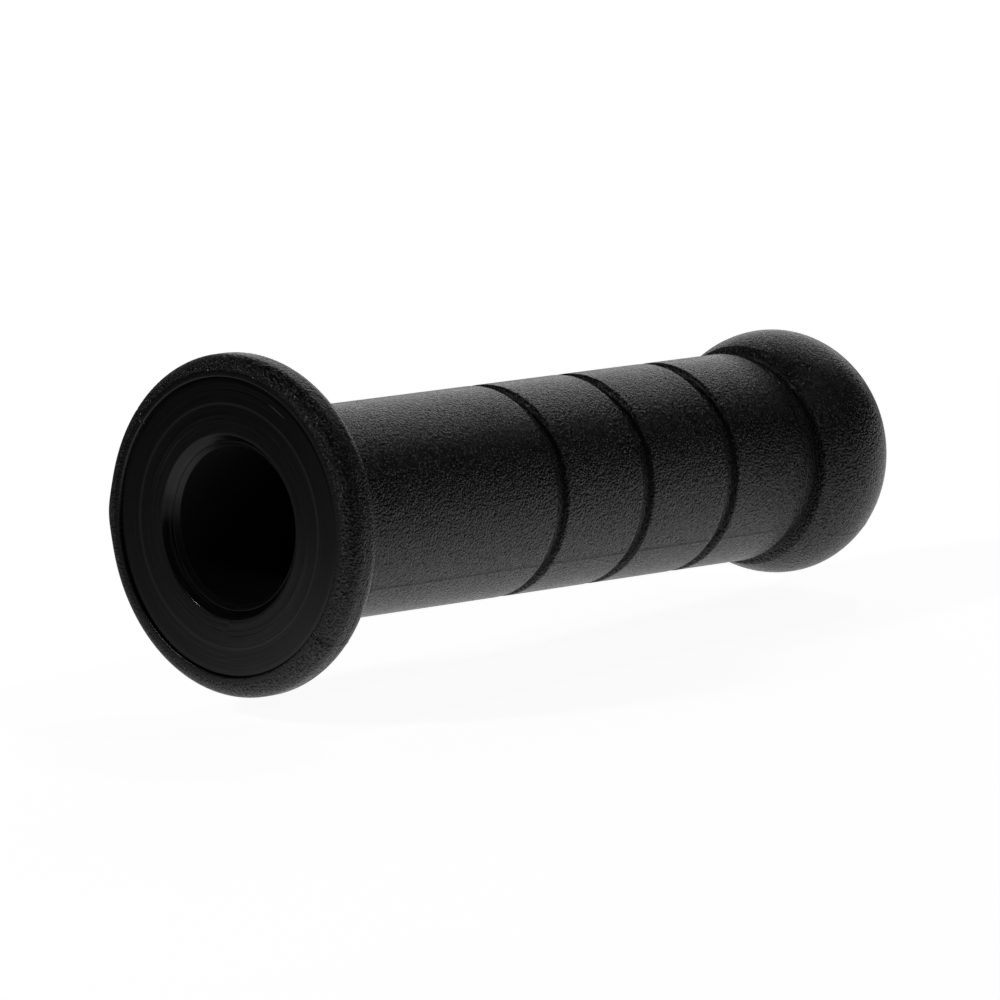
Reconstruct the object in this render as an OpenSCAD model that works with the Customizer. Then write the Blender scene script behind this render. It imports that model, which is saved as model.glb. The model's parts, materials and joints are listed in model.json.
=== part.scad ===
// Twist grip for a 22 mm handlebar: a rubber-covered tube that turns on a fixed inner sleeve.
// The grip's axis is +X, from the flange to the domed end. The origin is the centre of the
// flange's flat face. +Z is up when the bar is level, and +Y points forwards.

/* [Handlebar bore] */
// Radius of the bore that goes over the handlebar
bore_r = 11.2; // [11:0.1:11.3]
// Wall of the fixed sleeve that the tube turns on
sleeve_wall = 0.7; // [0.6:0.05:0.8]

/* [Hand-hold] */
// Length from the flange's flat face to the tip of the domed end
grip_length = 129.8; // [120:0.1:150]
// Radius of the straight hand-hold
body_r = 15.2; // [15:0.1:17]
// Number of grip grooves
groove_count = 3; // [1:1:3]
// Distance from the flange face to the middle of the first groove
first_groove_x = 52.6; // [30:0.1:54]
// Distance from one groove to the next
groove_pitch = 18.2; // [8:0.1:18.2]
// Width of a groove
groove_w = 2.2; // [1:0.1:4]
// Depth of every groove
groove_depth = 0.9; // [0.3:0.1:1]

/* [Flange] */
// Outer radius of the flange's rounded rim
flange_r = 24.1; // [23:0.1:28]
// Thickness of the rim, from its front to its back
rim_thickness = 6.3; // [6.2:0.1:8]
// Radius of the rim's front edge
rim_front_round = 2.4; // [1.5:0.1:2.6]
// Radius of the rim's back edge
rim_back_round = 2.7; // [1.5:0.1:3]
// Radius of the smooth flat face inside the rim
face_r = 20.9; // [19:0.1:21]
// How far the rim's lip stands in front of the flat face
lip_proud = 0.4; // [0.2:0.1:0.6]
// Radius of the mouth, at the wide end of its chamfer
mouth_r = 12.95; // [12.8:0.05:14]

/* [Domed end] */
// Largest radius of the domed end
dome_r = 17.9; // [17.5:0.1:20]
// Length of the dome, from its widest place to its tip
dome_length = 14.5; // [14:0.1:18]
// Length that the dome would have behind its widest place, if the neck didn't cut it off
dome_back_length = 15.7; // [14:0.1:18]
// Width of the neck groove in front of the dome
neck_w = 3.2; // [2:0.1:4]

/* [Twist] */
// Angle between the two stops, in degrees
twist_range = 80; // [60:1:90]

/* [Hidden] */

$fn = 96;
eps = 0.01;

// Radial gap where one piece turns in another, and the thinner one where two are bonded
running_gap = 0.05;
bond_gap = 0.02;

// Sleeve and tube, from the bore outwards
sleeve_r = bore_r + sleeve_wall;
tube_bore_r = sleeve_r + running_gap;
tube_wall = 1.35;
tube_r = tube_bore_r + tube_wall;

// Places along the axis that hang on the domed end
dome_x = grip_length - dome_length;
dome_steps = 24;
neck_x = dome_x - 10.2;
neck_end_x = neck_x + neck_w;
tube_end_x = dome_x + 3.7;
cover_over_plug = 2;

// Closed end of the sleeve: the bar butts on the inside of the hub
hub_x = dome_x - 4.3;
hub_thickness = 8;
bore_end_x = hub_x - hub_thickness;
journal_r = 4.5;

// Stack on the journal, from the hub outwards: washer, web, washer, cup spring
washer_t = 0.5;
washer_r = 7;
web_t = 2.5;
play = 0.05;
spring_t = 0.5;
spring_h = 0.8;
spring_r = 7.5;
web_x = hub_x + play + washer_t + play;
outer_washer_x = web_x + web_t + play;
spring_x = outer_washer_x + washer_t + play;
journal_end_x = spring_x + spring_h + play;

// Metric 4 screw with a socket head, and the brass insert that it goes into
screw_r = 2;
screw_length = 10;
screw_head_r = 3.5;
screw_head_h = 4;
socket_width = 3;
socket_depth = 2.2;
insert_r = 3;
insert_length = 8;
retaining_washer_t = 1;
retaining_washer_r = 8.5;
screw_seat_x = journal_end_x + retaining_washer_t;

// Stop pin in the hub, and the curved slot in the web that it runs in
pin_r = 1.25;
pin_length = 8;
pin_circle_r = 9;
pin_reach = 2.6;
slot_clearance = 0.1;

// Flange plate of the tube inside the rim, and the collar behind it with the seal's recess.
// The rim's lip sits in a rebate round the flat face.
rim_end_x = rim_thickness - lip_proud;
lip_slope_w = 0.15;
rebate = 0.5;
plate_t = 3.2;
plate_r = flange_r - 1.6;
collar_r = 15;
collar_x = 5.4;
seal_section_r = 0.78;
seal_x = 3.9;
seal_r = sleeve_r + 0.03 + seal_section_r;
recess_w = 1.8;
recess_r = 13.6;

// Mouth: one cone, cut first in the tube and then in the end of the sleeve
mouth_slope = 0.85;
sleeve_start_x = (mouth_r - tube_bore_r) / mouth_slope;
sleeve_chamfer = (sleeve_r - bore_r - 0.1) / mouth_slope;

// Hard cap under the rubber dome
skirt_length = 3.6;
skirt_wall = 2;
plug_cavity_end_x = screw_seat_x + screw_head_h + 1.2;

// Turns an outline about the grip's axis. The outline's x is the radius, its y the place along +X.
module turned() {
    rotate([0, 90, 0]) rotate_extrude() children();
}

// Straight band of an outline, between two radii and two places along the axis
module band(r_in, r_out, x0, x1) {
    translate([r_in, x0]) square([r_out - r_in, x1 - x0]);
}

// Round bar along +X
module bar(r, x0, x1) {
    translate([x0, 0, 0]) rotate([0, 90, 0]) cylinder(r = r, h = x1 - x0);
}

// Outline points of the domed end, from a place along the axis to the tip
function dome_arc(radial, axial, from_x) =
    let (start = asin((from_x - dome_x) / axial))
    [for (i = [0:dome_steps])
        let (a = start + (90 - start) * i / dome_steps)
        [radial * cos(a), dome_x + axial * sin(a)]];

module dome(radial, axial, from_x) {
    polygon(concat([[0, from_x]], dome_arc(radial, axial, from_x)));
}

// Outside of the flange's rim, with its two rounded edges
module rim_outline() {
    front_x = -lip_proud + rim_front_round;
    back_x = rim_end_x - rim_back_round;
    band(0, flange_r - rim_front_round, -lip_proud, front_x);
    translate([flange_r - rim_front_round, front_x]) circle(r = rim_front_round);
    band(0, flange_r, front_x, back_x);
    translate([flange_r - rim_back_round, back_x]) circle(r = rim_back_round);
    band(0, flange_r - rim_back_round, back_x, rim_end_x);
}

// Space in front of the flat face, widening up the lip's slope to the front of the rim
module face_recess() {
    polygon([
        [0, -lip_proud - eps],
        [face_r + lip_slope_w, -lip_proud - eps],
        [face_r + lip_slope_w, -lip_proud],
        [face_r, 0],
        [0, 0]
    ]);
}

// Outside of the tube, grown by a gap
module tube_outline(gap) {
    band(0, face_r - bond_gap + gap, -gap, plate_t);
    band(0, plate_r + gap, rebate - gap, plate_t + gap);
    band(0, collar_r + gap, 0, collar_x + gap);
    band(0, tube_r + gap, 0, tube_end_x);
}

// Outside of the cap beyond the tube's end, grown by a gap
module plug_outline(gap) {
    dome(dome_r - cover_over_plug + gap, dome_length - cover_over_plug + gap, tube_end_x - gap);
}

// Fixed sleeve: liner over the bar, closed hub, and the journal that carries the grip's web
module bar_sleeve() {
    color([0.12, 0.12, 0.13])
    difference() {
        turned() {
            difference() {
                band(0, sleeve_r, sleeve_start_x, hub_x);
                band(-eps, bore_r, sleeve_start_x - eps, bore_end_x);
                polygon([
                    [bore_r - eps, sleeve_start_x - eps],
                    [sleeve_r - 0.1, sleeve_start_x - eps],
                    [bore_r, sleeve_start_x + sleeve_chamfer],
                    [bore_r - eps, sleeve_start_x + sleeve_chamfer]
                ]);
            }
            band(0, journal_r, hub_x - eps, journal_end_x);
        }
        bar(insert_r, journal_end_x - insert_length, journal_end_x + eps);
        bar(screw_r, screw_seat_x - screw_length - 1, journal_end_x);
        translate([0, 0, pin_circle_r]) bar(pin_r, hub_x + pin_reach - pin_length, hub_x + eps);
    }
}

// Brass insert with the screw's thread, its outside grooved so that the hub holds it
module threaded_insert() {
    color([0.75, 0.58, 0.25])
    turned()
    difference() {
        band(screw_r + bond_gap, insert_r - bond_gap, journal_end_x - insert_length + bond_gap,
             journal_end_x);
        for (i = [1:3])
            band(insert_r - 0.35, insert_r, journal_end_x - i * insert_length / 4 - 0.4,
                 journal_end_x - i * insert_length / 4 + 0.4);
    }
}

// Steel dowel that stops the twist at both ends
module stop_pin() {
    color([0.7, 0.7, 0.72])
    translate([0, 0, pin_circle_r])
    bar(pin_r - bond_gap, hub_x + pin_reach - pin_length + bond_gap, hub_x + pin_reach);
}

// Low-friction washers on both sides of the web
module thrust_washers() {
    color([0.9, 0.9, 0.86])
    turned()
    for (x = [hub_x + play, outer_washer_x])
        band(journal_r + running_gap, washer_r, x, x + washer_t);
}

// Conical spring washer, its wide edge towards the web
module cup_spring() {
    rise = spring_h - spring_t;
    color([0.6, 0.6, 0.62])
    turned()
    polygon([
        [journal_r + running_gap, spring_x + rise],
        [spring_r, spring_x],
        [spring_r, spring_x + spring_t],
        [journal_r + running_gap, spring_x + spring_h]
    ]);
}

module retaining_washer() {
    color([0.7, 0.7, 0.72])
    turned()
    band(screw_r + 0.2, retaining_washer_r, journal_end_x, screw_seat_x);
}

module retaining_screw() {
    color([0.2, 0.2, 0.22])
    difference() {
        union() {
            bar(screw_head_r, screw_seat_x, screw_seat_x + screw_head_h);
            bar(screw_r, screw_seat_x - screw_length, screw_seat_x + eps);
        }
        translate([screw_seat_x + screw_head_h - socket_depth, 0, 0])
        rotate([0, 90, 0])
        cylinder(d = socket_width / cos(30), h = socket_depth + eps, $fn = 6);
    }
}

// Hard tube that turns on the sleeve: flange plate, chamfered mouth, and the web with its curved slot
module throttle_tube() {
    color([0.08, 0.08, 0.085])
    difference() {
        turned()
        difference() {
            tube_outline(0);
            band(-eps, tube_bore_r, -eps, web_x);
            band(-eps, journal_r + running_gap, web_x - eps, web_x + web_t + eps);
            band(-eps, tube_bore_r, web_x + web_t, tube_end_x + eps);
            band(0, recess_r, seal_x - recess_w / 2, seal_x + recess_w / 2);
            polygon([
                [0, -eps],
                [mouth_r, -eps],
                [mouth_r, 0],
                [tube_bore_r, sleeve_start_x],
                [0, sleeve_start_x]
            ]);
        }
        stop_slot();
    }
}

// Curved slot that the stop pin runs in, from the pin's rest place at the top towards +Y
module stop_slot() {
    slot_r = pin_r + slot_clearance;
    end_angle = asin(slot_r / pin_circle_r);
    rotate([180 - twist_range - end_angle, 0, 0])
    rotate([0, 90, 0])
    rotate_extrude(angle = twist_range + 2 * end_angle)
    band(pin_circle_r - slot_r, pin_circle_r + slot_r, web_x - play, web_x + web_t + play);
}

module mouth_seal() {
    color([0.05, 0.05, 0.05])
    turned()
    translate([seal_r, seal_x]) circle(r = seal_section_r, $fn = 32);
}

// Hard cap: a skirt inside the tube's end, and a dome with a cavity over the screw's head
module end_plug() {
    skirt_r = tube_bore_r - bond_gap;
    cavity_r = skirt_r - skirt_wall;
    color([0.15, 0.15, 0.16])
    turned()
    difference() {
        union() {
            band(0, skirt_r, tube_end_x - skirt_length, tube_end_x + eps);
            plug_outline(0);
        }
        band(-eps, cavity_r, tube_end_x - skirt_length - eps, plug_cavity_end_x);
    }
}

// Moulded rubber skin: rim round the flange plate, grooved hand-hold, neck and domed end
module grip_cover() {
    color([0.06, 0.06, 0.065])
    turned()
    difference() {
        union() {
            rim_outline();
            band(0, body_r, 0, dome_x);
            dome(dome_r, dome_length, dome_x);
            intersection() {
                dome(dome_r, dome_back_length, neck_end_x);
                band(0, dome_r, neck_end_x, dome_x + eps);
            }
        }
        face_recess();
        tube_outline(bond_gap);
        plug_outline(bond_gap);
        for (i = [0:groove_count - 1])
            band(body_r - groove_depth, body_r + eps, first_groove_x + i * groove_pitch - groove_w / 2,
                 first_groove_x + i * groove_pitch + groove_w / 2);
        band(body_r - groove_depth, dome_r + eps, neck_x, neck_end_x);
    }
}

bar_sleeve();
threaded_insert();
stop_pin();
thrust_washers();
cup_spring();
retaining_washer();
retaining_screw();
throttle_tube();
mouth_seal();
end_plug();
grip_cover();
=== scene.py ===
"""Looks for the twist grip: the rubber cover, the hard tube with its turned face, the inner parts
and a plain white studio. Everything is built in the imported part's own frame, in metres: the grip's
axis is +X from the flange to the domed end, and the flange's flat face is at x = 0."""

import json
import math

import bmesh
import bpy
import numpy as np
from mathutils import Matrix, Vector


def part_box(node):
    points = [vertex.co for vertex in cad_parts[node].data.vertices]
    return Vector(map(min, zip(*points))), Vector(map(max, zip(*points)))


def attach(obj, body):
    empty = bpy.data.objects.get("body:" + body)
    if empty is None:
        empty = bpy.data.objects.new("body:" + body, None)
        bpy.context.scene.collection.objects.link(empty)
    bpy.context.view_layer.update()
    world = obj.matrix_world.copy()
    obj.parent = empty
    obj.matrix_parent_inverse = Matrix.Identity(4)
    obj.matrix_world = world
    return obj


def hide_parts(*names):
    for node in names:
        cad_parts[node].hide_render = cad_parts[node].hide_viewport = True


MM = 0.001

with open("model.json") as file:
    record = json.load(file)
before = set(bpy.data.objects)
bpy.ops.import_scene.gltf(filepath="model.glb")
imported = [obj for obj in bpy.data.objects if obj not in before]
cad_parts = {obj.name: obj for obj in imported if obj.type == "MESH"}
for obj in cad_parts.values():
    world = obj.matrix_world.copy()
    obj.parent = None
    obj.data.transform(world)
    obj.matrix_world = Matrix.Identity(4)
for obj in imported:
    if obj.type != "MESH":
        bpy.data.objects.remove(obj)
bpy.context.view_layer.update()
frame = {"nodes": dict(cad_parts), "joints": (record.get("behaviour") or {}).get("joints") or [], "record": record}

# ---------------------------------------------------------------- sizes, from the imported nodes
cover_low, cover_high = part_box("grip_cover")
tube_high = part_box("throttle_tube")[1]
sleeve_low, sleeve_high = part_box("bar_sleeve")
washer_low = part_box("thrust_washers")[0]
mount = next(m for m in frame["record"]["mounts"] if m["name"] == "handlebar_bore")
twist = next(j for j in frame["joints"] if j["name"] == "throttle_twist")

bore_r = mount["dims"]["r_mm"] * MM
grip_end = cover_high.x
flange_r = cover_high.z
lip_front = cover_low.x
sleeve_r = sleeve_high.z
sleeve_start = sleeve_low.x
tube_end = tube_high.x
plate_r = tube_high.z

# Shape of the cover, as in the design
rim_end = 5.9 * MM
rim_front_round = 2.4 * MM
rim_back_round = 2.7 * MM
face_r = 20.9 * MM
lip_slope_w = 0.15 * MM
rebate = 0.5 * MM
body_r = 15.2 * MM
groove_depth = 0.9 * MM
groove_w = 2.2 * MM
groove_first = 52.6 * MM
groove_pitch = 18.2 * MM
groove_count = 3
dome_r = 17.9 * MM
dome_length = 14.5 * MM
dome_back_length = 15.7 * MM
dome_x = grip_end - dome_length
neck_x = dome_x - 10.2 * MM
neck_w = 3.2 * MM
skin_over_plug = 2.0 * MM
bond_gap = 0.02 * MM

# Shape of the tube, as in the design
running_gap = 0.05 * MM
mouth_gap = 0.015 * MM
tube_bore_r = sleeve_r + running_gap
tube_r = tube_bore_r + 1.35 * MM
plate_t = 3.2 * MM
collar_r = 15.0 * MM
collar_x = 5.4 * MM
mouth_r = 12.95 * MM
web_t = 2.5 * MM
thrust_washer_t = 0.5 * MM
web_hole_r = 4.5 * MM
pin_circle = 9.0 * MM
slot_half = 1.35 * MM
seal_x, seal_w, seal_r = 3.9 * MM, 1.8 * MM, 13.6 * MM


# ---------------------------------------------------------------- outlines and turned meshes
# Edges along a fillet: how long they may be, and how few there may be
FILLET_EDGE = 0.15 * MM
FILLET_EDGES_MIN = 5
# A point nearer to the axis than this is on it
ON_AXIS = 1e-7
# Shading is smooth across edges flatter than this
SHARP_ANGLE = math.radians(35)


def rounded(corners):
    """Closed outline of (x, r) points from corners (x, r, fillet). A fillet turns its corner into an arc."""
    points = []
    for i, (x, r, fillet) in enumerate(corners):
        here = np.array((x, r))
        if fillet == 0:
            points.append(here)
            continue
        before = np.array(corners[i - 1][:2]) - here
        after = np.array(corners[(i + 1) % len(corners)][:2]) - here
        before /= np.linalg.norm(before)
        after /= np.linalg.norm(after)
        half = math.acos(np.clip(before @ after, -1, 1)) / 2
        middle = (before + after) / np.linalg.norm(before + after)
        centre = here + middle * fillet / math.sin(half)
        first = here + before * fillet / math.tan(half) - centre
        last = here + after * fillet / math.tan(half) - centre
        start = math.atan2(first[1], first[0])
        turn = math.atan2(last[1], last[0]) - start
        turn = (turn + math.pi) % (2 * math.pi) - math.pi
        steps = max(FILLET_EDGES_MIN, math.ceil(fillet / FILLET_EDGE))
        for k in range(steps + 1):
            a = start + turn * k / steps
            points.append(centre + fillet * np.array((math.cos(a), math.sin(a))))
    return points


def arc(x, r, radius_x, radius_r, start, end, steps):
    """Corners along an elliptic arc, from angle start to end in degrees, 0 towards +X and 90 outwards."""
    corners = []
    for a in np.radians(np.linspace(start, end, steps + 1)):
        corners.append((x + radius_x * math.cos(a), r + radius_r * math.sin(a), 0))
    return corners


def turned(name, outline, angles):
    """A closed mesh from a closed outline of (x, r) points turned about the X axis, one copy per angle."""
    points = np.array(outline)
    count = len(angles)
    cos, sin = np.cos(angles), np.sin(angles)
    verts, rings = [], []
    for x, r in points:
        if r < ON_AXIS:
            rings.append([len(verts)] * count)
            verts.append((x, 0.0, 0.0))
        else:
            rings.append(list(range(len(verts), len(verts) + count)))
            verts += [(x, -r * c, r * s) for c, s in zip(cos, sin)]
    faces = []
    for i, ring in enumerate(rings):
        following = rings[(i + 1) % len(rings)]
        if ring[0] == ring[1] and following[0] == following[1]:
            continue
        for k in range(count):
            n = (k + 1) % count
            corners = (ring[k], ring[n], following[n], following[k])
            faces.append(tuple(dict.fromkeys(corners)))
    mesh = bpy.data.meshes.new(name)
    mesh.from_pydata(verts, [], faces)
    return piece_from(name, mesh)


def piece_from(name, mesh):
    """Links a mesh as a piece with outward normals and smooth shading up to an angle."""
    mesh.name = name
    work = bmesh.new()
    work.from_mesh(mesh)
    bmesh.ops.recalc_face_normals(work, faces=work.faces)
    work.to_mesh(mesh)
    work.free()
    mesh.polygons.foreach_set("use_smooth", [True] * len(mesh.polygons))
    mesh.set_sharp_from_angle(angle=SHARP_ANGLE)
    piece = bpy.data.objects.new(name, mesh)
    bpy.context.scene.collection.objects.link(piece)
    return piece


def even_angles(count):
    """Angles round the whole circle, in radians."""
    return np.arange(count) * 2 * math.pi / count


# ---------------------------------------------------------------- material nodes
class Shader:
    """A material with one Principled shader, and short ways to add nodes to it."""

    def __init__(self, name):
        self.material = bpy.data.materials.new(name)
        self.material.use_nodes = True
        self.tree = self.material.node_tree
        self.tree.nodes.clear()
        self.out = self.tree.nodes.new("ShaderNodeOutputMaterial")
        self.principled = self.tree.nodes.new("ShaderNodeBsdfPrincipled")
        self.tree.links.new(self.principled.outputs[0], self.out.inputs[0])
        self.coords = self.tree.nodes.new("ShaderNodeTexCoord").outputs["Object"]

    def node(self, kind, inputs=(), **settings):
        made = self.tree.nodes.new("ShaderNode" + kind)
        for key, value in settings.items():
            setattr(made, key, value)
        for key, value in dict(inputs).items():
            self.put(made.inputs[key], value)
        return made

    def put(self, socket, value):
        if isinstance(value, bpy.types.NodeSocket):
            self.tree.links.new(value, socket)
        else:
            socket.default_value = value

    def math(self, operation, a, b=0.0):
        return self.node("Math", {0: a, 1: b}, operation=operation).outputs[0]

    def remap(self, value, low, high, to_low, to_high):
        """Carries low to high over to to_low to to_high, and holds the ends beyond them."""
        made = self.node("MapRange", {0: value, 1: low, 2: high, 3: to_low, 4: to_high})
        return made.outputs[0]

    def noise(self, feature, detail=3.0, rough=0.5, coords=None):
        """Noise from 0 to 1 whose features are about this many metres across."""
        made = self.node(
            "TexNoise",
            {"Vector": coords or self.coords, "Scale": 1 / feature, "Detail": detail, "Roughness": rough},
        )
        return made.outputs["Fac"]

    def cells(self, feature, smooth):
        """Distance to the nearest of random points that lie about this many metres apart."""
        made = self.node(
            "TexVoronoi",
            {"Vector": self.coords, "Scale": 1 / feature, "Smoothness": smooth},
            feature="SMOOTH_F1",
        )
        return made.outputs["Distance"]

    def mix(self, factor, a, b):
        """Goes from colour a to colour b. Each is red, green and blue, or comes from another node."""
        made = self.node("Mix", {"Factor": factor}, data_type="RGBA")
        for key, color in ((6, a), (7, b)):
            self.put(made.inputs[key], (*color, 1.0) if isinstance(color, tuple) else color)
        return made.outputs[2]

    def axis_radius(self):
        """Distance from the grip's axis, in metres."""
        flat = self.node("VectorMath", {0: self.coords, 1: (0.0, 1.0, 1.0)}, operation="MULTIPLY")
        length = self.node("VectorMath", {0: flat.outputs[0]}, operation="LENGTH")
        return length.outputs["Value"]

    def clock(self):
        """Angle round the grip's axis, from the top towards -Y."""
        place = self.node("SeparateXYZ", {0: self.coords}).outputs
        return self.math("ARCTAN2", self.math("MULTIPLY", place["Y"], -1.0), place["Z"])

    def bump(self, height, depth, strength=1.0):
        made = self.node("Bump", {"Height": height, "Distance": depth, "Strength": strength})
        return made.outputs["Normal"]

    def set(self, **values):
        """Fills the Principled shader's inputs, named with _ for a space, and gives the material."""
        for key, value in values.items():
            self.put(self.principled.inputs[key.replace("_", " ")], value)
        return self.material


def grey(level):
    return (level, level, level)


# The rubber's moulded grain: how far apart its bumps and its pits lie, and how deep it is
GRAIN_SIZE = 0.35 * MM
PIT_SIZE = 0.45 * MM
GRAIN_DEPTH = 0.32 * MM
# Share of the grain that is smoothed away on the lip and in the grooves
LIP_SMOOTHING = 0.85
GROOVE_SMOOTHING = 0.35
# The smooth lip reaches this far back and this far out
LIP_BACK = 0.6 * MM
LIP_OUTER_R = 22.1 * MM
# Tones of the rubber; the groove tone is painted light, the tip tone a painted highlight and the pit tone painted
# shade
FRESH_RUBBER = grey(0.0022)
WORN_RUBBER = grey(0.0036)
# painted light in the grooves
PAINTED_GROOVE_LIGHT = grey(0.024)
PAINTED_TIP_HIGHLIGHT = grey(0.036)
PAINTED_PIT_SHADE = grey(0.001)


def grained_rubber():
    """Black rubber with a fine, steep moulded grain, smooth on the lip round the face and faint in the grooves,
    where painted light lightens it. The tips of the grain are polished and carry a painted highlight, and its pits
    are dull and carry painted shade."""
    s = Shader("grained_rubber")
    grain = s.noise(GRAIN_SIZE, 1.5, 0.6)
    pits = s.cells(PIT_SIZE, 0.3)
    height = s.math("ADD", grain, s.math("MULTIPLY", pits, 0.25))
    radius = s.axis_radius()
    place = s.node("SeparateXYZ", {0: s.coords}).outputs
    in_front = s.remap(place["X"], LIP_BACK - 0.4 * MM, LIP_BACK, 1.0, 0.0)
    near_face = s.remap(radius, LIP_OUTER_R - 0.3 * MM, LIP_OUTER_R, 1.0, 0.0)
    on_lip = s.math("MULTIPLY", in_front, near_face)
    in_groove = s.math(
        "MULTIPLY",
        s.remap(radius, body_r - 0.6 * groove_depth, body_r - 0.2 * groove_depth, 1.0, 0.0),
        s.remap(place["X"], neck_x + neck_w, neck_x + neck_w + MM, 1.0, 0.0),
    )
    smooth_lip = s.math("MULTIPLY", on_lip, LIP_SMOOTHING)
    smooth_groove = s.math("MULTIPLY", in_groove, GROOVE_SMOOTHING)
    strength = s.math("SUBTRACT", 1.0, s.math("ADD", smooth_lip, smooth_groove))
    patch = s.noise(9 * MM, 3.0)
    mottle = s.noise(1.6 * MM, 3.0)
    worn = s.remap(s.math("ADD", patch, s.math("MULTIPLY", mottle, 0.4)), 0.5, 0.9, 0.0, 1.0)
    # painted highlight on the grain's tips, which are also made less rough
    tips = s.math("MULTIPLY", s.remap(grain, 0.55, 0.66, 0.0, 1.0), strength)
    # painted shade in the grain's pits, which are also given less specular
    pitted = s.math("MULTIPLY", s.remap(grain, 0.48, 0.34, 0.0, 1.0), strength)
    plain = s.mix(worn, FRESH_RUBBER, WORN_RUBBER)
    # painted light: the grooves are painted lighter than the rubber around them
    with_groove_light = s.mix(in_groove, plain, PAINTED_GROOVE_LIGHT)
    with_tip_highlight = s.mix(tips, with_groove_light, PAINTED_TIP_HIGHLIGHT)
    rough = s.remap(worn, 0.0, 1.0, 0.22, 0.27)
    return s.set(
        Base_Color=s.mix(pitted, with_tip_highlight, PAINTED_PIT_SHADE),
        Roughness=s.math("SUBTRACT", rough, s.math("MULTIPLY", tips, 0.07)),
        Specular_IOR_Level=s.math("SUBTRACT", 0.5, s.math("MULTIPLY", pitted, 0.35)),
        IOR=1.5,
        Normal=s.bump(height, GRAIN_DEPTH, strength=strength),
    )


# Turned rings on the hard plastic, bumped and painted with highlights: full strength inside the first radius,
# faint outside the second, and one ring further out painted paler as a highlight
STRONG_RINGS_R = 15.3 * MM
FAINT_RINGS_R = 16.2 * MM
FAINT_RINGS = 0.4
HIGHLIT_RING = 17.2 * MM
# A short scratch near the rim: its radius, and its angle from the top towards -Y
SCRATCH_RADIUS = 19.5 * MM
SCRATCH_CLOCK = math.radians(29)
# Tones on the hard plastic; the ring tone is a painted highlight
PAINTED_RING_HIGHLIGHT = grey(0.021)
DULL_BORE = grey(0.018)
SCRATCH_TONE = grey(0.07)


def satin_plastic(name, color, roughness, ring_depth, bore_radius=0.0, scratch=False):
    """Hard black plastic with fine turned rings round the axis, painted lighter as highlights, strongest near the
    mouth, and one ring painted paler as a highlight. Inside the bore's radius it is dull. With scratch it also has
    the short mark near the rim."""
    s = Shader(name)
    radius = s.axis_radius()
    drift = s.math("MULTIPLY", s.clock(), 0.2 * MM)
    along = s.node("CombineXYZ", {0: radius, 1: drift}).outputs[0]
    fine = s.noise(0.28 * MM, 3.0, 0.75, along)
    broad = s.noise(1.1 * MM, 2.0, 0.6, along)
    near_mouth = s.remap(radius, STRONG_RINGS_R, FAINT_RINGS_R, 1.0, FAINT_RINGS)
    haze = s.noise(6 * MM, 4.0)
    scuffs = s.noise(0.6 * MM, 5.0, 0.7)
    marks = s.math("ADD", haze, s.math("MULTIPLY", scuffs, 0.3))
    rough = s.remap(marks, 0.4, 0.9, roughness - 0.04, roughness + 0.05)
    dull = s.remap(radius, bore_radius + 0.02 * MM, bore_radius + 0.06 * MM, 1.0, 0.0)
    tint = s.remap(haze, 0.3, 0.7, 0.0, 1.0)
    lighter = tuple(c * 1.35 for c in color)
    base = s.mix(tint, color, lighter)
    # painted highlights along the fine turned rings
    lines = s.math("MULTIPLY", s.remap(fine, 0.5, 0.68, 0.0, 1.0), near_mouth)
    base = s.mix(s.math("MULTIPLY", lines, 0.9), base, PAINTED_RING_HIGHLIGHT)
    # a painted highlight on one turned ring
    off_ring = s.math("ABSOLUTE", s.math("SUBTRACT", radius, HIGHLIT_RING))
    base = s.mix(s.remap(off_ring, 0.12 * MM, 0.3 * MM, 0.9, 0.0), base, PAINTED_RING_HIGHLIGHT)
    base = s.mix(dull, base, DULL_BORE)
    if scratch:
        base = s.mix(scratch_mark(s, radius), base, SCRATCH_TONE)
    height = s.math("ADD", s.math("MULTIPLY", fine, near_mouth), s.math("MULTIPLY", broad, 0.8))
    return s.set(
        Base_Color=base,
        Roughness=s.math("ADD", rough, s.math("MULTIPLY", dull, 0.3)),
        Specular_IOR_Level=s.remap(dull, 0.0, 1.0, 0.5, 0.12),
        IOR=1.43,
        Normal=s.bump(s.math("ADD", height, s.math("MULTIPLY", scuffs, 0.02)), ring_depth),
    )


def scratch_mark(s, radius):
    """Mask of a short scratch round the face, up and to the side of the mouth, close to the rim."""
    wander = s.math("MULTIPLY", s.noise(2 * MM, 2.0), 0.3 * MM)
    off_line = s.math("ABSOLUTE", s.math("SUBTRACT", s.math("ADD", radius, wander), SCRATCH_RADIUS))
    off_middle = s.math("ABSOLUTE", s.math("SUBTRACT", s.clock(), SCRATCH_CLOCK))
    across = s.remap(off_line, 0.03 * MM, 0.12 * MM, 1.0, 0.0)
    lengthwise = s.remap(off_middle, math.radians(2), math.radians(6), 1.0, 0.0)
    return s.math("MULTIPLY", across, lengthwise)


def moulded_plastic(name, color, roughness):
    """Plain moulded plastic: faint flow marks, small scuffs and a slightly uneven sheen."""
    s = Shader(name)
    flow = s.noise(4 * MM, 4.0)
    fine = s.noise(0.25 * MM, 3.0)
    scuffs = s.noise(0.9 * MM, 6.0, 0.7)
    lighter = tuple(min(1.0, c * 1.12) for c in color)
    return s.set(
        Base_Color=s.mix(s.remap(flow, 0.35, 0.65, 0.0, 1.0), color, lighter),
        Roughness=s.remap(scuffs, 0.35, 0.7, roughness - 0.06, roughness + 0.08),
        Normal=s.bump(s.math("ADD", flow, s.math("MULTIPLY", fine, 0.2)), 0.02 * MM),
    )


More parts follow.
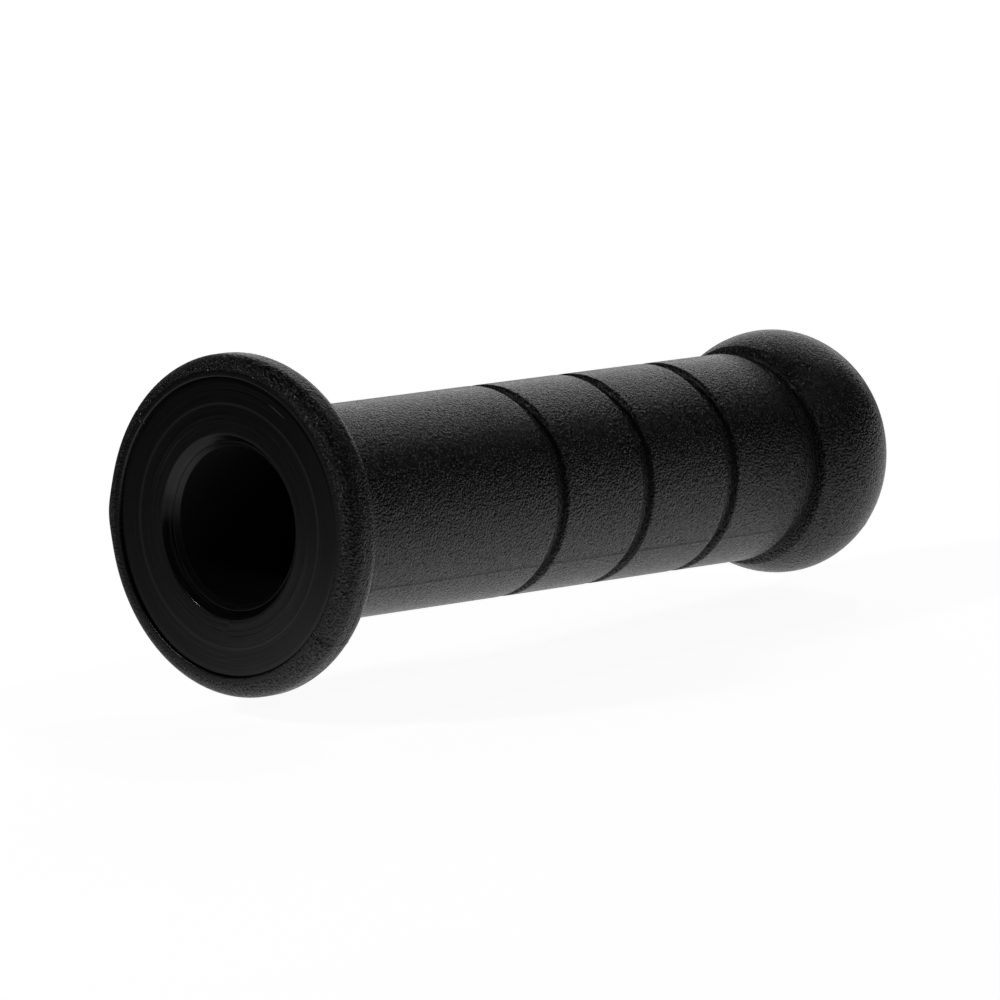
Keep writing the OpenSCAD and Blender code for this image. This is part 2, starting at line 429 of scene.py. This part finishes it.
def turned_metal(name, color, dark, roughness):
    """Machined metal: fine rings from the tool, small scratches, and darker stains."""
    s = Shader(name)
    radius = s.axis_radius()
    along = s.node("CombineXYZ", {0: radius}).outputs[0]
    rings = s.noise(0.12 * MM, 3.0, 0.7, along)
    stains = s.noise(1.5 * MM, 4.0)
    scratches = s.noise(0.3 * MM, 6.0, 0.8)
    return s.set(
        Base_Color=s.mix(s.remap(stains, 0.45, 0.75, 0.0, 1.0), color, dark),
        Metallic=1.0,
        Roughness=s.remap(scratches, 0.3, 0.7, roughness - 0.08, roughness + 0.1),
        Normal=s.bump(s.math("ADD", rings, s.math("MULTIPLY", scratches, 0.3)), 0.008 * MM),
    )


# ---------------------------------------------------------------- the rubber cover
# Marks of the mould. Angles are from -Y towards the top. The two parting lines lie opposite each other.
PARTING = math.radians(-39)
SEAM_HALF_WIDTH = math.radians(0.5)
SEAM_HEIGHT = 0.05 * MM
NICK_DEPTH = 0.22 * MM
NICK_BACK = 0.18 * MM
# The spot where the rubber came in
GATE = math.radians(180)
GATE_HALF_WIDTH = math.radians(7)
GATE_BULGE = 0.3 * MM
# Fineness of the cover's mesh, round the axis and along the outline
COVER_ANGLES = 288
COVER_STEP = 0.5 * MM
# Fillets of the outline, and how far the far wall of a groove leans
LIP_FILLET = 0.2 * MM
RIM_FOOT_FILLET = 1.2 * MM
GROOVE_FILLET = 0.3 * MM
GROOVE_SLOPE = 0.2 * MM


def cover_outline():
    """Outline of the rubber skin: outside from the lip to the dome's tip, then back along the inside."""
    groove = []
    for i in range(groove_count):
        middle = groove_first + i * groove_pitch
        groove += recess(middle - groove_w / 2, middle + groove_w / 2, body_r)
    neck_end = neck_x + neck_w
    dome_start = math.degrees(math.acos((neck_end - dome_x) / dome_back_length))
    dome_edge = dome_r * math.sin(math.radians(dome_start))
    outside = (
        [
            (0.0, face_r, 0.0),
            (lip_front, face_r + lip_slope_w, LIP_FILLET),
            (lip_front, flange_r, rim_front_round),
            (rim_end, flange_r, rim_back_round),
            (rim_end, body_r, RIM_FOOT_FILLET),
        ]
        + groove
        + recess(neck_x, neck_end, body_r, dome_edge)
        + arc(dome_x, 0, dome_back_length, dome_r, dome_start - 4, 90, 6)
        + arc(dome_x, 0, dome_length, dome_r, 88, 0, 44)
    )
    return rounded(outside + cover_inside())


def recess(x0, x1, near_r, far_r=None):
    """Corners of a groove in the hand-hold, with small rounded shoulders and a slightly sloped far
    wall. The wall beyond the neck groove is higher than the one before it."""
    floor_r = body_r - groove_depth
    far_r = far_r or near_r
    far_fillet = GROOVE_FILLET + 0.25 * (far_r - near_r)
    return [
        (x0, near_r, GROOVE_FILLET),
        (x0, floor_r, 0),
        (x1 - GROOVE_SLOPE, floor_r, 0),
        (x1, far_r, far_fillet),
    ]


def cover_inside():
    """Corners of the skin's inside, from the dome's tip back to the lip, a bond gap off the core."""
    core_r = dome_r - skin_over_plug + bond_gap
    core_length = dome_length - skin_over_plug + bond_gap
    core_start = math.degrees(math.acos((tube_end - dome_x) / core_length))
    plate_back = plate_t + bond_gap
    return arc(dome_x, 0, core_length, core_r, 0, core_start, 16) + [
        (tube_end - bond_gap, tube_r + bond_gap, 0),
        (collar_x + bond_gap, tube_r + bond_gap, 0),
        (collar_x + bond_gap, collar_r + bond_gap, 0),
        (plate_back, collar_r + bond_gap, 0),
        (plate_back, plate_r + bond_gap, 0),
        (rebate - bond_gap, plate_r + bond_gap, 0),
        (rebate - bond_gap, face_r, 0),
    ]


def split_outside(points):
    """Cuts the outside of the outline, up to the dome's tip, into short edges. The hidden inside keeps
    its long ones."""
    tip = int(np.argmax([x for x, _ in points]))
    result = []
    for i, here in enumerate(points):
        following = points[(i + 1) % len(points)]
        length = np.linalg.norm(following - here)
        cuts = max(1, math.ceil(length / COVER_STEP)) if i < tip else 1
        result += [here + (following - here) * k / cuts for k in range(cuts)]
    return result


def parting_angles():
    """Even angles round the grip, with extra ones close to the two mould parting lines."""
    angles = list(even_angles(COVER_ANGLES))
    for side in (PARTING, PARTING + math.pi):
        near = [side + math.radians(d) for d in (-0.9, -0.45, 0.0, 0.45, 0.9)]
        angles = [a for a in angles if abs(math.remainder(a - side, 2 * math.pi)) > math.radians(1.1)]
        angles += near
    return np.array(sorted(a % (2 * math.pi) for a in angles))


def mark_mould(piece):
    """Raises a fine seam along the two parting lines, nicks the rim's front where they cross it, and
    leaves the rim slightly full on the side where the rubber came in."""
    mesh = piece.data
    count = len(mesh.vertices)
    co = np.zeros(count * 3)
    mesh.vertices.foreach_get("co", co)
    co = co.reshape(-1, 3)
    radius = np.hypot(co[:, 1], co[:, 2])
    angle = np.arctan2(co[:, 2], -co[:, 1])
    off = np.abs((angle - PARTING + math.pi / 2) % math.pi - math.pi / 2)
    seam = np.clip(1 - off / SEAM_HALF_WIDTH, 0, 1)
    hidden = radius < body_r - groove_depth - 0.2 * MM
    seam[hidden & (co[:, 0] < dome_x)] = 0
    on_rim = (co[:, 0] < lip_front + 0.6 * rim_front_round) & (radius > face_r - 0.1 * MM)
    lift = np.where(on_rim, -NICK_DEPTH, SEAM_HEIGHT) * seam
    from_gate = np.abs(np.angle(np.exp(1j * (angle - GATE))))
    on_outside = np.clip((radius - flange_r + 2 * MM) / MM, 0, 1)
    lift += GATE_BULGE * np.exp(-(from_gate / GATE_HALF_WIDTH) ** 2) * on_outside
    scale = np.where(radius > ON_AXIS, 1 + lift / np.maximum(radius, ON_AXIS), 1)
    co[:, 1] *= scale
    co[:, 2] *= scale
    co[:, 0] += np.where(on_rim, NICK_BACK, 0) * seam
    mesh.vertices.foreach_set("co", co.ravel())
    mesh.update()


def make_cover():
    outline = split_outside(cover_outline())
    cover = turned("rubber_cover", outline, parting_angles())
    mark_mould(cover)
    cover.data.materials.append(grained_rubber())
    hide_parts("grip_cover")
    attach(cover, "twist_grip")
    return cover


# ---------------------------------------------------------------- the hard tube
TURNED_RINGS = (  # radius, width and depth, in mm, of the rings cut in the flat face
    (13.6, 0.12, 0.004),
    (13.9, 0.14, 0.006),
    (14.2, 0.12, 0.004),
    (14.6, 0.16, 0.008),
    (15.2, 0.18, 0.009),
    (HIGHLIT_RING / MM, 0.28, 0.012),
    (18.6, 0.14, 0.003),
    (19.9, 0.14, 0.003),
)
# Width in mm of the short flat edge that the mesh has on each side of a ring
RING_SHOULDER = 0.03
TUBE_ANGLES = 192
# Fillets of the tube's mouth, of its face beside the rubber, and of its hidden edges
MOUTH_FILLET = 0.25 * MM
FACE_FILLET = 0.08 * MM
EDGE_FILLET = 0.1 * MM
END_FILLET = 0.15 * MM
# The bore is narrower over the first stretch of the sleeve, so that no gap shows beside it: where that
# stretch ends, and where the full bore starts, both from the sleeve's end
NARROW_END = 0.2 * MM
FULL_BORE = 0.3 * MM
# The cutter of the stop slot: sections along its curve, and how far it sticks out of the web
SLOT_SECTIONS = 40
SLOT_OVERCUT = 0.2 * MM


def tube_outline():
    """Outline of the tube with its turned face, and where the inner web starts and ends."""
    web_x = washer_low.x + thrust_washer_t + running_gap
    web_end = web_x + web_t
    hole_r = web_hole_r + running_gap
    face = [(0.0, mouth_r, MOUTH_FILLET)]
    for radius, width, depth in TURNED_RINGS:
        half = width / 2
        face += [
            (0.0, (radius - half - RING_SHOULDER) * MM, 0),
            (0.0, (radius - half) * MM, 0),
            (depth * MM, radius * MM, 0),
            (0.0, (radius + half) * MM, 0),
            (0.0, (radius + half + RING_SHOULDER) * MM, 0),
        ]
    return rounded(
        face
        + [
            (0.0, face_r - bond_gap, FACE_FILLET),
            (rebate, face_r - bond_gap, 0),
            (rebate, plate_r, EDGE_FILLET),
            (plate_t, plate_r, EDGE_FILLET),
            (plate_t, collar_r, 0),
            (collar_x, collar_r, EDGE_FILLET),
            (collar_x, tube_r, 0),
            (tube_end, tube_r, END_FILLET),
            (tube_end, tube_bore_r, END_FILLET),
            (web_end, tube_bore_r, 0),
            (web_end, hole_r, EDGE_FILLET),
            (web_x, hole_r, EDGE_FILLET),
            (web_x, tube_bore_r, 0),
            (seal_x + seal_w / 2, tube_bore_r, 0),
            (seal_x + seal_w / 2, seal_r, 0),
            (seal_x - seal_w / 2, seal_r, 0),
            (seal_x - seal_w / 2, tube_bore_r, 0),
            (sleeve_start + FULL_BORE, tube_bore_r, 0),
            (sleeve_start + NARROW_END, sleeve_r + mouth_gap, 0),
            (sleeve_start, sleeve_r + mouth_gap, 0),
        ]
    ), web_x, web_end


def cut_slot(tube, web_x, web_end):
    """Cuts the curved stop slot through the web, from the top towards +Y, as far as the twist needs."""
    end = math.asin(slot_half / pin_circle)
    sweep = math.radians(twist["range_deg"][1])
    angles = np.linspace(-end, sweep + end, SLOT_SECTIONS)
    verts, faces = [], []
    for a in angles:
        for x in (web_x - SLOT_OVERCUT, web_end + SLOT_OVERCUT):
            for r in (pin_circle - slot_half, pin_circle + slot_half):
                verts.append((x, r * math.sin(a), r * math.cos(a)))
    for k in range(len(angles) - 1):
        i, j = 4 * k, 4 * k + 4
        faces += [(i, i + 1, j + 1, j), (i + 3, i + 2, j + 2, j + 3)]
        faces += [(i + 2, i, j, j + 2), (i + 1, i + 3, j + 3, j + 1)]
    last = 4 * (len(angles) - 1)
    faces += [(0, 2, 3, 1), (last, last + 1, last + 3, last + 2)]
    mesh = bpy.data.meshes.new("slot_cutter")
    mesh.from_pydata(verts, [], faces)
    cutter = piece_from("slot_cutter", mesh)
    cut = tube.modifiers.new("slot", "BOOLEAN")
    cut.operation, cut.solver, cut.object = "DIFFERENCE", "EXACT", cutter
    graph = bpy.context.evaluated_depsgraph_get()
    result = bpy.data.meshes.new_from_object(tube.evaluated_get(graph), depsgraph=graph)
    tube.modifiers.clear()
    tube.data = result
    bpy.data.objects.remove(cutter)


def make_tube():
    outline, web_x, web_end = tube_outline()
    tube = turned("hard_tube", outline, even_angles(TUBE_ANGLES))
    cut_slot(tube, web_x, web_end)
    tube.data.materials.clear()
    look = satin_plastic("tube_plastic", grey(0.0018), 0.16, 0.035 * MM, scratch=True)
    tube.data.materials.append(look)
    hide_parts("throttle_tube")
    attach(tube, "twist_grip")


# ---------------------------------------------------------------- inner parts kept from the frame
def paint(node, material):
    """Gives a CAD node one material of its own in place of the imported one."""
    mesh = frame["nodes"][node].data
    mesh.materials.clear()
    mesh.materials.append(material)


def paint_inner_parts():
    steel = turned_metal("ground_steel", (0.62, 0.62, 0.63), (0.42, 0.41, 0.39), 0.28)
    paint("bar_sleeve", satin_plastic("sleeve_plastic", grey(0.005), 0.27, 0.02 * MM, bore_r))
    paint("threaded_insert", turned_metal("turned_brass", (0.78, 0.58, 0.28), (0.5, 0.33, 0.14), 0.26))
    paint("stop_pin", steel)
    paint("retaining_washer", steel)
    paint("thrust_washers", moulded_plastic("slippery_plastic", (0.78, 0.77, 0.72), 0.35))
    paint("cup_spring", turned_metal("spring_steel", (0.36, 0.35, 0.36), (0.2, 0.17, 0.16), 0.34))
    paint("retaining_screw", turned_metal("black_steel", (0.05, 0.05, 0.055), (0.02, 0.02, 0.022), 0.4))
    paint("mouth_seal", moulded_plastic("seal_rubber", grey(0.012), 0.45))
    paint("end_plug", moulded_plastic("plug_plastic", (0.045, 0.045, 0.048), 0.45))


# ---------------------------------------------------------------- camera, floor and light
CAMERA_AZIMUTH = math.radians(-47.41)
CAMERA_ELEVATION = math.radians(7.42)
CAMERA_DISTANCE = 1.4394
AIM_RIGHT = 37.73 * MM
AIM_UP = 3.74 * MM
LENS = 372.9
CLIP_END = 20.0

back = Vector((
    math.sin(CAMERA_AZIMUTH) * math.cos(CAMERA_ELEVATION),
    -math.cos(CAMERA_AZIMUTH) * math.cos(CAMERA_ELEVATION),
    math.sin(CAMERA_ELEVATION),
))
right = Vector((math.cos(CAMERA_AZIMUTH), math.sin(CAMERA_AZIMUTH), 0))
up = back.cross(right)


def add_camera():
    data = bpy.data.cameras.new("camera")
    data.lens = LENS
    data.clip_end = CLIP_END
    camera = bpy.data.objects.new("camera", data)
    camera.location = right * AIM_RIGHT + up * AIM_UP + back * CAMERA_DISTANCE
    camera.rotation_mode = "QUATERNION"
    camera.rotation_quaternion = (-back).to_track_quat("-Z", "Y")
    bpy.context.scene.collection.objects.link(camera)
    bpy.context.scene.camera = camera


# How bright the floor and the dark room are: the floor to the camera, the table close to the grip in
# reflections, and the room in reflections
FLOOR_SEEN = 0.93
GLOW = 0.68
ROOM_GLOW = 0.018
# Half the floor's width, in metres
FLOOR_HALF = 6.0
# The table's light falls to half this far to either side of the grip
FADE_HALF = 100 * MM
# A slanting stripe of light crosses the table this far from the grip's middle, on the flange's side
STRIPE_AWAY = 105 * MM
# The lights: azimuth from straight ahead towards the right, elevation, width and height in degrees as
# seen from the grip, and brightness
PANEL_DISTANCE = 0.8
PANELS = (
    ("back_box", 7, 20, 32, 34, 1.05),
    ("left_wall", -32, 18, 50, 28, 0.14),
    ("high_lamp", 30, 60, 5, 5, 18),
    ("left_lamp", -120, 30, 6, 6, 38),
    ("right_lamp", 112, 45, 5, 5, 18),
)


def add_panel(name, azimuth, elevation, width, height, radiance):
    """A soft rectangular light that faces the middle of the grip from a direction."""
    middle = Vector((grip_end / 2, 0, 0))
    ahead = Vector((-back.x, -back.y, 0)).normalized()
    level = ahead * math.cos(math.radians(azimuth)) + right * math.sin(math.radians(azimuth))
    rise = math.radians(elevation)
    towards = level * math.cos(rise) + Vector((0, 0, math.sin(rise)))
    data = bpy.data.lights.new(name, "AREA")
    data.shape = "RECTANGLE"
    data.size = 2 * PANEL_DISTANCE * math.tan(math.radians(width / 2))
    data.size_y = 2 * PANEL_DISTANCE * math.tan(math.radians(height / 2))
    data.energy = radiance * math.pi * data.size * data.size_y
    light = bpy.data.objects.new(name, data)
    light.location = middle + towards * PANEL_DISTANCE
    light.rotation_mode = "QUATERNION"
    light.rotation_quaternion = (-towards).to_track_quat("-Z", "Y")
    light.visible_camera = False
    bpy.context.scene.collection.objects.link(light)


def add_floor(cover):
    """A large pale floor, tilted so that the rim and the dome are equally far above it, about 3.6 mm.
    Away from the grip it goes dark in reflections, as a table in a dark room does, and stays pale for
    the camera."""
    tilt = math.atan((flange_r - dome_r) / (dome_x - rim_end + rim_back_round))
    normal = Vector((-math.sin(tilt), 0, math.cos(tilt)))
    co = np.zeros(len(cover.data.vertices) * 3)
    cover.data.vertices.foreach_get("co", co)
    depth = float((co.reshape(-1, 3) @ np.array(normal)).min())
    mesh = bpy.data.meshes.new("floor")
    corners = [(FLOOR_HALF * x, FLOOR_HALF * y, 0) for x, y in ((-1, -1), (1, -1), (1, 1), (-1, 1))]
    mesh.from_pydata(corners, [], [(0, 1, 2, 3)])
    floor = bpy.data.objects.new("floor", mesh)
    floor.location = normal * depth + Vector((grip_end / 2, 0, 0))
    floor.rotation_euler = (0, -tilt, 0)
    bpy.context.scene.collection.objects.link(floor)
    floor.data.materials.append(floor_paper())


def floor_paper():
    """White for the camera, which can also look up through it from below. In reflections it is a glowing table
    whose light fades away from the grip and carries a painted shadow of the flange on its left, apart from a
    stripe of light that the flat face looks at."""
    s = Shader("floor_paper")
    place = s.node("SeparateXYZ", {0: s.coords}).outputs
    off_axis = s.math("ABSOLUTE", place["Y"])
    beyond = s.math("POWER", s.math("DIVIDE", off_axis, FADE_HALF), 3.0)
    across = s.math("DIVIDE", GLOW, s.math("ADD", 1.0, beyond))
    to_side = s.math("MULTIPLY", off_axis, 0.8)
    # painted shadow of the flange: the table's glow is darker in front of and left of the flange
    left_of_flange = s.remap(s.math("SUBTRACT", place["X"], to_side), -90 * MM, -55 * MM, 0.58, 0.0)
    diagonal = s.math("ADD", s.math("ADD", place["X"], STRIPE_AWAY), place["Y"])
    from_stripe = s.math("ABSOLUTE", diagonal)
    stripe = s.remap(from_stripe, 15 * MM, 45 * MM, 0.75, 0.0)
    shade = s.math("MULTIPLY", left_of_flange, s.math("SUBTRACT", 1.0, stripe))
    along = s.math("SUBTRACT", 1.0, shade)
    glow = s.math("MULTIPLY", across, along)
    camera_ray = s.node("LightPath").outputs["Is Camera Ray"]
    unseen = s.math("SUBTRACT", 1.0, camera_ray)
    seen = s.math("MULTIPLY", camera_ray, FLOOR_SEEN)
    from_below = s.math("MULTIPLY", camera_ray, s.node("NewGeometry").outputs["Backfacing"])
    clear = s.node("BsdfTransparent").outputs[0]
    either = s.node("MixShader", {0: from_below, 1: s.principled.outputs[0], 2: clear})
    s.put(s.out.inputs[0], either.outputs[0])
    return s.set(
        Base_Color=(*grey(0.35), 1.0),
        Roughness=0.9,
        Specular_IOR_Level=0.0,
        Emission_Color=(*grey(1.0), 1.0),
        Emission_Strength=s.math("ADD", seen, s.math("MULTIPLY", unseen, glow)),
    )


def add_world():
    """White for the camera, and a dark room for everything else."""
    world = bpy.data.worlds.new("studio")
    world.use_nodes = True
    tree = world.node_tree
    tree.nodes.clear()
    out = tree.nodes.new("ShaderNodeOutputWorld")
    ground = tree.nodes.new("ShaderNodeBackground")
    path = tree.nodes.new("ShaderNodeLightPath")
    level = tree.nodes.new("ShaderNodeMapRange")
    level.inputs["To Min"].default_value = ROOM_GLOW
    level.inputs["To Max"].default_value = 1.0
    tree.links.new(path.outputs["Is Camera Ray"], level.inputs["Value"])
    tree.links.new(level.outputs[0], ground.inputs["Strength"])
    tree.links.new(ground.outputs[0], out.inputs[0])
    bpy.context.scene.world = world


def add_studio(cover):
    add_floor(cover)
    add_world()
    for name, azimuth, elevation, width, height, radiance in PANELS:
        add_panel(name, azimuth, elevation, width, height, radiance)
    bpy.context.scene.view_settings.view_transform = "Standard"


# ---------------------------------------------------------------- the whole scene
cover = make_cover()
make_tube()
paint_inner_parts()
add_camera()
add_studio(cover)
